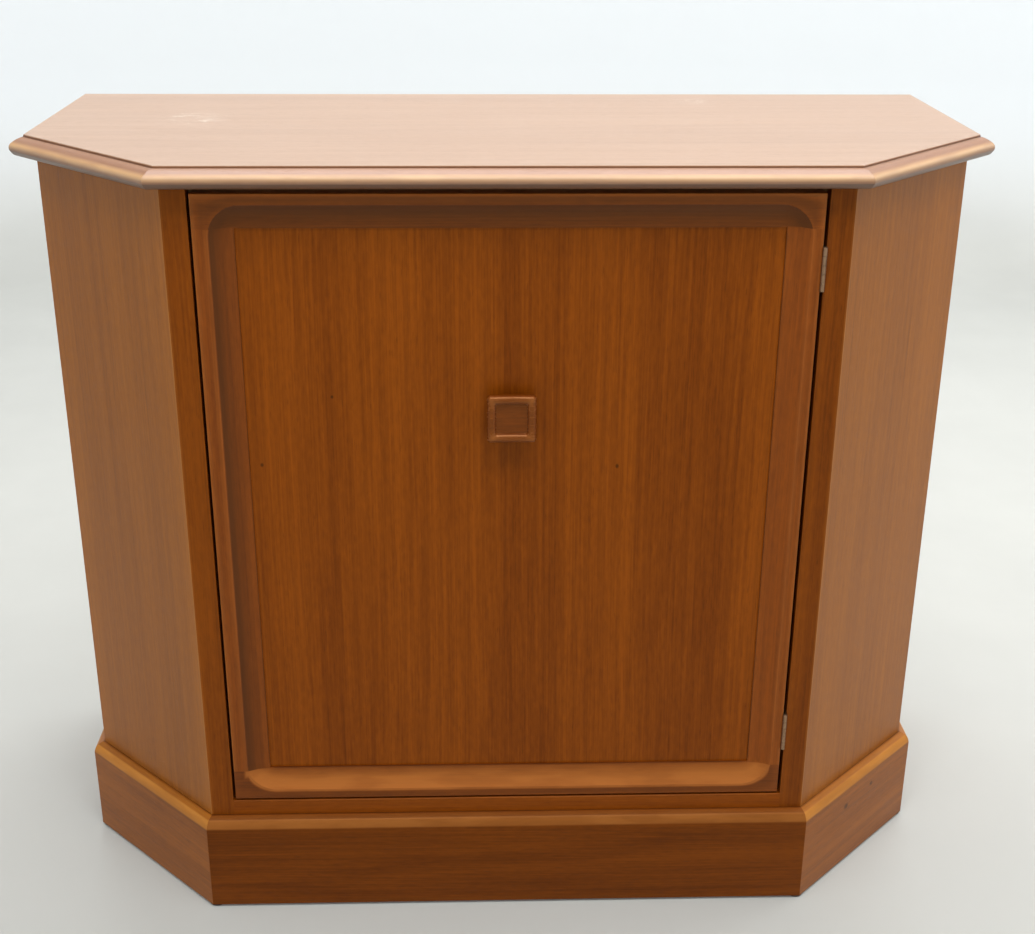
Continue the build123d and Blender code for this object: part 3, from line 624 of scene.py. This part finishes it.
def member(name, outer, inner, stations, lip, groove, recess, upright, sizes, finish):
    """One member of the door's frame, as sections at stations along it.

    A section runs from the outer edge round the face, over the lip and down the hollow to the
    inner edge, then round the panel's groove to the back. The face's depth is door_depth.
    """
    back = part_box("door_rail_top")[1].y - FRONT_Y
    inward = math.copysign(1, inner - outer)
    width = abs(inner - outer)
    turn = np.linspace(0, QUARTER, 6)
    arris = sizes.arris * (1 - np.cos(turn))
    flat = lip[:, None] - sizes.lip_radius - sizes.arris
    border = sizes.arris + flat * np.linspace(0, 1, 4)[None, 1:]
    edge = lip[:, None] - sizes.lip_radius * (1 - np.sin(turn))[None, 1:]
    hollow = lip[:, None] + (width - lip[:, None]) * np.linspace(0, 1, 18)[None, 1:]
    arris = np.broadcast_to(arris, (len(stations), len(arris)))
    face = np.concatenate([arris, border, edge, hollow], axis=1)
    face = np.maximum(face, recess[:, None])
    across = outer + inward * face
    along_it = np.broadcast_to(stations[:, None], across.shape)
    x, z = (across, along_it) if upright else (along_it, across)
    depth, wear_and_painted_light = door_depth(x, z, sizes)
    constant = np.ones(len(stations))
    groove_end = width - groove
    rim = [(0 * constant, back * constant), (0 * constant, sizes.mortise_width * constant),
           (recess, sizes.mortise_width * constant)]
    inside = [(width * constant, PANEL_FRONT * constant), (groove_end, PANEL_FRONT * constant),
              (groove_end, PANEL_BACK * constant), (width * constant, PANEL_BACK * constant),
              (width * constant, back * constant)]
    offset = np.concatenate([np.stack([part[0] for part in rim], 1), face,
                             np.stack([part[0] for part in inside], 1)], axis=1)
    depth = np.concatenate([np.stack([part[1] for part in rim], 1), depth,
                            np.stack([part[1] for part in inside], 1)], axis=1)
    wear_and_painted_light = np.concatenate([np.zeros((len(stations), len(rim))), wear_and_painted_light,
                           np.zeros((len(stations), len(inside)))], axis=1)
    across = outer + inward * offset
    along_it = np.broadcast_to(stations[:, None], across.shape)
    x, z = (across, along_it) if upright else (along_it, across)
    rings = np.stack([x, FRONT_Y + depth, z], axis=-1)
    return surface(f"{name}_member", rings, finish, "door", name, wear_and_painted_light)


class CUPBOARD_OT_door(bpy.types.Operator):
    """Build the door's coved frame, two rails and two stiles"""

    bl_idname = "cupboard.door"
    bl_label = "Door Frame"

    def execute(self, context):
        sizes = context.scene.cupboard_door
        colours = context.scene.cupboard_colours
        radius = sizes.cove_corner
        reach = radius - sizes.cove_width
        end_turn = np.linspace(0, 1, 7)
        upright = timber("teak_door_stiles", colours.frame_dark, colours.frame_light, ALONG_Z, sheen=0.8)
        level = timber("teak_door_rails", colours.frame_dark, colours.frame_light, ALONG_X, sheen=0.8)

        # Stiles: the lip bends away near both ends
        low = PANEL_Z0 + reach * (1 - end_turn)[::-1]
        high = PANEL_Z1 - reach * (1 - end_turn)
        for side, outer, inner in (("left", DOOR_LOW.x, PANEL_X0), ("right", DOOR_HIGH.x, PANEL_X1)):
            stations = np.concatenate([low, high])
            recess = np.zeros(len(stations))
            if side == "right":
                for bottom, top in HINGES:
                    stations = np.concatenate([stations, [bottom, bottom, top, top]])
                    recess = np.concatenate([recess, [0, sizes.mortise_depth, sizes.mortise_depth, 0]])
                order = np.argsort(stations, kind="stable")
                stations, recess = stations[order], recess[order]
            beyond = np.maximum(np.maximum(PANEL_Z0 + reach - stations, stations - PANEL_Z1 + reach), 0)
            lip = abs(inner - outer) - sizes.cove_width + radius - np.sqrt(radius ** 2 - beyond ** 2)
            groove = np.full(len(stations), sizes.groove)
            member(f"door_stile_{side}", outer, inner, stations, lip, groove, recess, True, sizes,
                   upright)

        # Rails: the lip runs round both corners and meets the rail's inner edge
        lip_x0 = PANEL_X0 - sizes.cove_width
        lip_x1 = PANEL_X1 + sizes.cove_width
        first = math.asin(reach / radius)
        corner = radius * (1 - np.cos(np.linspace(first, QUARTER, 22)))
        ends = np.concatenate([sizes.arris * (1 - np.cos(np.linspace(0, QUARTER, 4))),
                               [sizes.groove_stop, sizes.groove_stop]])
        stations = np.concatenate([DOOR_LOW.x + ends, lip_x0 + corner,
                                   (lip_x1 - corner)[::-1], (DOOR_HIGH.x - ends)[::-1]])
        groove = np.full(len(stations), sizes.groove)
        groove[:5] = 0
        groove[-5:] = 0
        beyond = np.maximum(np.maximum(lip_x0 + radius - stations, stations - lip_x1 + radius), 0)
        drop = radius - np.sqrt(np.maximum(radius ** 2 - beyond ** 2, 0))
        recess = np.zeros(len(stations))
        for place, outer, inner in (("top", DOOR_HIGH.z, PANEL_Z1), ("bottom", DOOR_LOW.z, PANEL_Z0)):
            width = abs(inner - outer)
            lip = np.minimum(width - sizes.cove_width + drop, width)
            lip = np.where(beyond > radius, width, lip)
            member(f"door_rail_{place}", outer, inner, stations, lip, groove, recess, False, sizes,
                   level)
        return {"FINISHED"}


def square_ring(half, corner, columns):
    """Points round squares with round corners, and how near a corner each point is.

    half and corner are columns of numbers, one for each ring. Each quarter is a point that goes
    along half a side, round a corner arc and along the next half side; the four quarters are
    that one turned.
    """
    run = np.linspace(0, 3, columns // 4, endpoint=False)
    straight = half - corner
    turn = np.clip(run - 1, 0, 1) * QUARTER
    quarter = straight * (1 - np.clip(run - 2, 0, 1) + 1j * np.clip(run, 0, 1))
    quarter = quarter + corner * np.exp(1j * turn)
    ring = np.concatenate([quarter * 1j ** count for count in range(4)], axis=-1)
    nearness = np.minimum(np.abs(ring.real), np.abs(ring.imag)) / np.maximum(half, MERGE)
    return ring, nearness


def upright_rings(ring, centre, depth):
    """Rings of points that stand upright round a centre, each at its depth along Y."""
    return np.stack([centre.x + ring.real, np.broadcast_to(depth, ring.shape), centre.z + ring.imag], -1)


class CUPBOARD_OT_pull(bpy.types.Operator):
    """Build the dished square grip and its waisted neck"""

    bl_idname = "cupboard.pull"
    bl_label = "Pull"

    def execute(self, context):
        sizes = context.scene.cupboard_pull
        colours = context.scene.cupboard_colours
        centre = (GRIP_LOW + GRIP_HIGH) / 2
        half = (GRIP_HIGH.x - GRIP_LOW.x) / 2
        thick = GRIP_HIGH.y - GRIP_LOW.y
        bar = sizes.bar / 2
        crest = half - bar
        # Half width and depth behind the front, from the middle of the back round to the dish
        back_edge = complex(half - 3.5 * MM, thick)
        back_rounding = complex(half - 1.1 * MM, thick - 1.0 * MM)
        side = arc(back_edge, back_rounding, complex(half, thick - 3.6 * MM), 6)
        over = np.linspace(0, math.pi, 17)
        round_bar = crest + bar * np.cos(over) + 1j * sizes.dish * (1 - np.sin(over))
        dish = np.linspace(crest - bar - 0.6 * MM, 0, 8)
        floor = dish + 1j * (sizes.dish + sizes.dish_hollow * (1 - (dish / crest) ** 2))
        profile = np.concatenate([[thick * 1j], side, round_bar, floor])
        distance, depth = profile.real[:, None], profile.imag[:, None]
        corner = np.minimum(np.maximum(sizes.corner - half + distance, sizes.least_corner), distance)
        ring, nearness = square_ring(distance, corner, sizes.columns)
        on_bar = np.exp(-((distance - crest) / bar) ** 2) * (depth < sizes.dish)
        sag = sizes.sag * on_bar * (1 - nearness ** 2)
        rings = upright_rings(ring, centre, GRIP_LOW.y + depth + sag)
        # Painted highlight on the bars, strongest near the corners
        wear_and_painted_light = 0.8 * on_bar * (0.2 + 0.8 * nearness ** 4)
        finish = timber("teak_pull", scaled(colours.frame_dark, PULL_SHADE),
                        scaled(colours.frame_light, PULL_SHADE), ALONG_X, contrast=0.7, gloss=0.25,
                        sheen=0.8)
        surface("pull_dished_grip", rings, finish, "door", "pull_grip", wear_and_painted_light)

        neck_half = (NECK_HIGH.x - NECK_LOW.x) / 2
        down = np.linspace(0, 1, 12)[:, None]
        narrow = neck_half - sizes.waist * np.sin(math.pi * down)
        ring = square_ring(narrow, np.full_like(narrow, sizes.neck_corner), sizes.columns)[0]
        rings = upright_rings(ring, centre, NECK_HIGH.y + (NECK_LOW.y - NECK_HIGH.y) * down)
        surface("pull_waisted_neck", rings, finish, "door", "pull_neck")
        return {"FINISHED"}


class CUPBOARD_OT_body_finishes(bpy.types.Operator):
    """Give the boards that keep their CAD shape their finishes"""

    bl_idname = "cupboard.body_finishes"
    bl_label = "Body Finishes"

    def execute(self, context):
        colours = context.scene.cupboard_colours
        # Painted highlight lines down the front stiles' outer corners
        arris_highlights = [((side * FRONT_HALF, FRONT_Y, 0.45), (0.0025, 0.0025, 2.0)) for side in (-1, 1)]
        side = timber("teak_upright", colours.side_dark, colours.side_light, ALONG_Z, sheen=0.4,
                      lacquer=HONEY, arris_highlights=arris_highlights)
        stile = timber("teak_stiles", scaled(colours.door_dark, STILE_SHADE),
                       scaled(colours.door_light, STILE_SHADE), ALONG_Z, arris_highlights=arris_highlights)
        panel = timber("teak_panel", colours.door_dark, colours.door_light, ALONG_Z,
                       specks=(((-0.1791, FRONT_Y + PANEL_FRONT, 0.6133), (0.002, 0.002, 0.0025)),
                               ((-0.2538, FRONT_Y + PANEL_FRONT, 0.5395), (0.0025, 0.002, 0.003)),
                               ((0.1118, FRONT_Y + PANEL_FRONT, 0.5357), (0.0025, 0.002, 0.0035))))
        # The top's edge below its flat takes the moulding's dark colour, a painted shade of the quirk;
        # the top's pale colours carry a painted reflection
        top = timber("teak_top_board", colours.top_dark, colours.top_light, ALONG_X, figure=0.15,
                     contrast=0.7, gloss=0.34, sheen=0.6, lacquer=PALE,
                     scuffs=(((-0.342, 0.055, TOP_HIGH.z), (0.05, 0.06, 0.02)),
                             ((0.228, 0.172, TOP_HIGH.z), (0.04, 0.03, 0.02))),
                     shade=(TOP_HIGH.z - 0.0008, TOP_HIGH.z - 0.0001, colours.edge_dark))
        rail = timber("teak_rail", colours.door_dark, colours.door_light, ALONG_X, contrast=0.8)
        inner = timber("inside_level", colours.inner_dark, colours.inner_light, ALONG_X, gloss=0.55)
        inner_up = timber("inside_upright", colours.inner_dark, colours.inner_light, ALONG_Z, gloss=0.55)
        ply = timber("plywood_back", colours.back_dark, colours.back_light, ALONG_X, figure=0.3,
                     contrast=0.7, gloss=0.65)
        steel = metal("hinge_steel", colours.steel)
        zinc = metal("zinc_plate", colours.zinc)
        finishes = {
            top: ["top_panel"],
            side: ["side_panel_left", "side_panel_right", "cant_panel_left", "cant_panel_right"],
            stile: ["front_stile_left", "front_stile_right"],
            rail: ["lower_front_rail", "shelf_lipping"],
            panel: ["door_panel"],
            inner: ["bottom_panel", "top_rail_front", "top_rail_back", "shelf", "plinth_back"],
            inner_up: ["front_corner_block_left", "front_corner_block_right", "side_corner_blocks",
                       "plinth_corner_blocks", "plinth_back_blocks"],
            ply: ["back_panel"],
            steel: ["hinge_frame_screws", "hinge_door_screws", "strike_plate", "strike_screws"]
            + [f"hinge_{place}_{part}" for place in ("upper", "lower")
               for part in ("frame_leaf", "door_leaf", "pin")],
            zinc: ["back_panel_screws", "top_screws", "shelf_pins", "plinth_screws", "pull_fixing_screw",
                   "catch_screws", "catch_pole_plates"],
            moulded("brown_plastic", (0.05, 0.025, 0.014)): ["catch_body"],
            moulded("ferrite", (0.02, 0.02, 0.02), 0.6): ["catch_magnet"],
            moulded("glide_plastic", (0.012, 0.010, 0.009)): ["glides"],
        }
        for finish, nodes in finishes.items():
            for node in nodes:
                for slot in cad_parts[node].material_slots:
                    slot.material = finish
        return {"FINISHED"}


# Name, power in watts, width and depth, place and target of each soft light
WORLD_LIGHT = 0.22
LAMPS = (
    ("overhead_front", 56.0, (2.4, 0.9), (0.2, -1.35, 2.9), (0.2, -0.7, 0.0)),
    ("overhead_middle", 25.0, (3.0, 1.2), (0.0, -0.3, 2.9), (0.0, -0.3, 0.0)),
    ("overhead_back", 64.0, (3.0, 1.6), (0.3, 1.2, 2.9), (0.3, 0.9, 0.0)),
    ("right_back", 14.0, (1.6, 1.6), (2.4, 0.6, 2.2), (0.0, 0.0, 0.4)),
)


class CUPBOARD_OT_stage(bpy.types.Operator):
    """Set the pale floor and backdrop, the soft lights and the camera"""

    bl_idname = "cupboard.stage"
    bl_label = "Stage"

    def execute(self, context):
        sizes = context.scene.cupboard_stage
        scene = context.scene
        # Backdrop: a profile of floor, bend and wall, turned about the vertical axis
        round_it = np.exp(1j * np.linspace(-QUARTER, 0, 12))
        bend = complex(sizes.radius - sizes.bend, sizes.bend) + sizes.bend * round_it
        profile = np.concatenate([[0.0, 1.0], bend, [complex(sizes.radius, sizes.height)]])
        turn = np.exp(1j * np.linspace(0, 2 * math.pi, 96, endpoint=False))
        plan = profile.real[:, None] * turn[None, :]
        height = np.broadcast_to(profile.imag[:, None], plan.shape)
        points = np.stack([plan.real, plan.imag, height], axis=-1)
        rows, columns = plan.shape
        start = (np.arange(rows - 1) * columns)[:, None]
        here = np.arange(columns)[None, :]
        after = (here + 1) % columns
        quads = np.stack([start + here, start + columns + here, start + columns + after,
                          start + after], axis=-1)
        mesh = bpy.data.meshes.new("backdrop")
        mesh.from_pydata(points.reshape(-1, 3), [], quads.reshape(-1, 4).tolist())
        mesh.shade_smooth()
        floor = Finish("pale_floor")
        place = floor.place()
        tint = context.scene.cupboard_colours.floor
        mottle = floor.noise(place, (3.0, 3.0, 3.0), 5.0, 0.6)
        base = floor.mix(scaled(tint, 0.93), scaled(tint, 1.06), 0.5 + mottle * 1.5)
        # Painted shade: the floor grows darker towards the front
        painted_front_shade = 1 - floor.ramp(floor.add("SeparateXYZ", {}, {0: place}, "Y"), -1.0, 1.0)
        base = floor.mix(base, scaled(tint, 0.8), painted_front_shade)
        wall = floor.ramp(floor.add("SeparateXYZ", {}, {0: place}, "Z"), 0.0, sizes.bend)
        base = floor.mix(base, (0.78, 0.81, 0.83), wall)
        mesh.materials.append(floor.finish(base, 0.5 + mottle * 0.1, Specular_IOR_Level=0.3,
                                           Emission_Color=(1.0, 1.0, 1.0, 1.0), Emission_Strength=0.05))
        backdrop = bpy.data.objects.new("backdrop", mesh)
        scene.collection.objects.link(backdrop)

        world = bpy.data.worlds.new("soft_room")
        world.use_nodes = True
        background = world.node_tree.nodes["Background"]
        background.inputs["Color"].default_value = (0.93, 0.97, 1.0, 1.0)
        background.inputs["Strength"].default_value = WORLD_LIGHT
        scene.world = world
        for lamp in LAMPS:
            self.lamp(*lamp)

        data = bpy.data.cameras.new("camera")
        data.lens = sizes.lens
        camera = bpy.data.objects.new("camera", data)
        turn = (Matrix.Rotation(-sizes.yaw, 4, "Z") @ Matrix.Rotation(QUARTER - sizes.pitch, 4, "X")
                @ Matrix.Rotation(sizes.roll, 4, "Z"))
        camera.matrix_world = Matrix.Translation(sizes.eye) @ turn
        scene.collection.objects.link(camera)
        scene.camera = camera
        scene.view_settings.view_transform = "Standard"
        return {"FINISHED"}

    def lamp(self, name, power, size, place, target):
        """One soft rectangular light, turned to its target."""
        data = bpy.data.lights.new(name, "AREA")
        data.energy = power
        data.shape = "RECTANGLE"
        data.size, data.size_y = size
        light = bpy.data.objects.new(name, data)
        light.location = place
        direction = light.location.copy()
        direction.x, direction.y, direction.z = (end - start for start, end in zip(place, target))
        light.rotation_euler = direction.to_track_quat("-Z", "Y").to_euler()
        bpy.context.scene.collection.objects.link(light)


OPERATORS = (CUPBOARD_OT_mouldings, CUPBOARD_OT_plinth, CUPBOARD_OT_door, CUPBOARD_OT_pull,
             CUPBOARD_OT_body_finishes, CUPBOARD_OT_stage)
SETTINGS = {"cupboard_moulding": MouldingSizes, "cupboard_plinth": PlinthSizes,
            "cupboard_door": DoorSizes, "cupboard_pull": PullSizes,
            "cupboard_colours": FinishColours, "cupboard_stage": StageSizes}


class CUPBOARD_PT_panel(bpy.types.Panel):
    """Sizes, colours and steps of the cupboard"""

    bl_idname = "CUPBOARD_PT_panel"
    bl_label = "Cupboard"
    bl_space_type = "VIEW_3D"
    bl_region_type = "UI"
    bl_category = "Cupboard"

    def draw(self, context):
        for operator in OPERATORS:
            self.layout.operator(operator.bl_idname)
        for name, group in SETTINGS.items():
            settings = getattr(context.scene, name)
            box = self.layout.box()
            box.label(text=group.__doc__)
            for field in group.__annotations__:
                box.prop(settings, field)


def register():
    for group in (*SETTINGS.values(), *OPERATORS, CUPBOARD_PT_panel):
        bpy.utils.register_class(group)
    for name, group in SETTINGS.items():
        setattr(bpy.types.Scene, name, PointerProperty(type=group))


def unregister():
    for name in SETTINGS:
        delattr(bpy.types.Scene, name)
    for group in (CUPBOARD_PT_panel, *reversed(OPERATORS), *SETTINGS.values()):
        bpy.utils.unregister_class(group)


def main():
    register()
    bpy.ops.cupboard.mouldings()
    bpy.ops.cupboard.plinth()
    bpy.ops.cupboard.door()
    bpy.ops.cupboard.pull()
    bpy.ops.cupboard.body_finishes()
    bpy.ops.cupboard.stage()


if __name__ == "__main__":
    main()
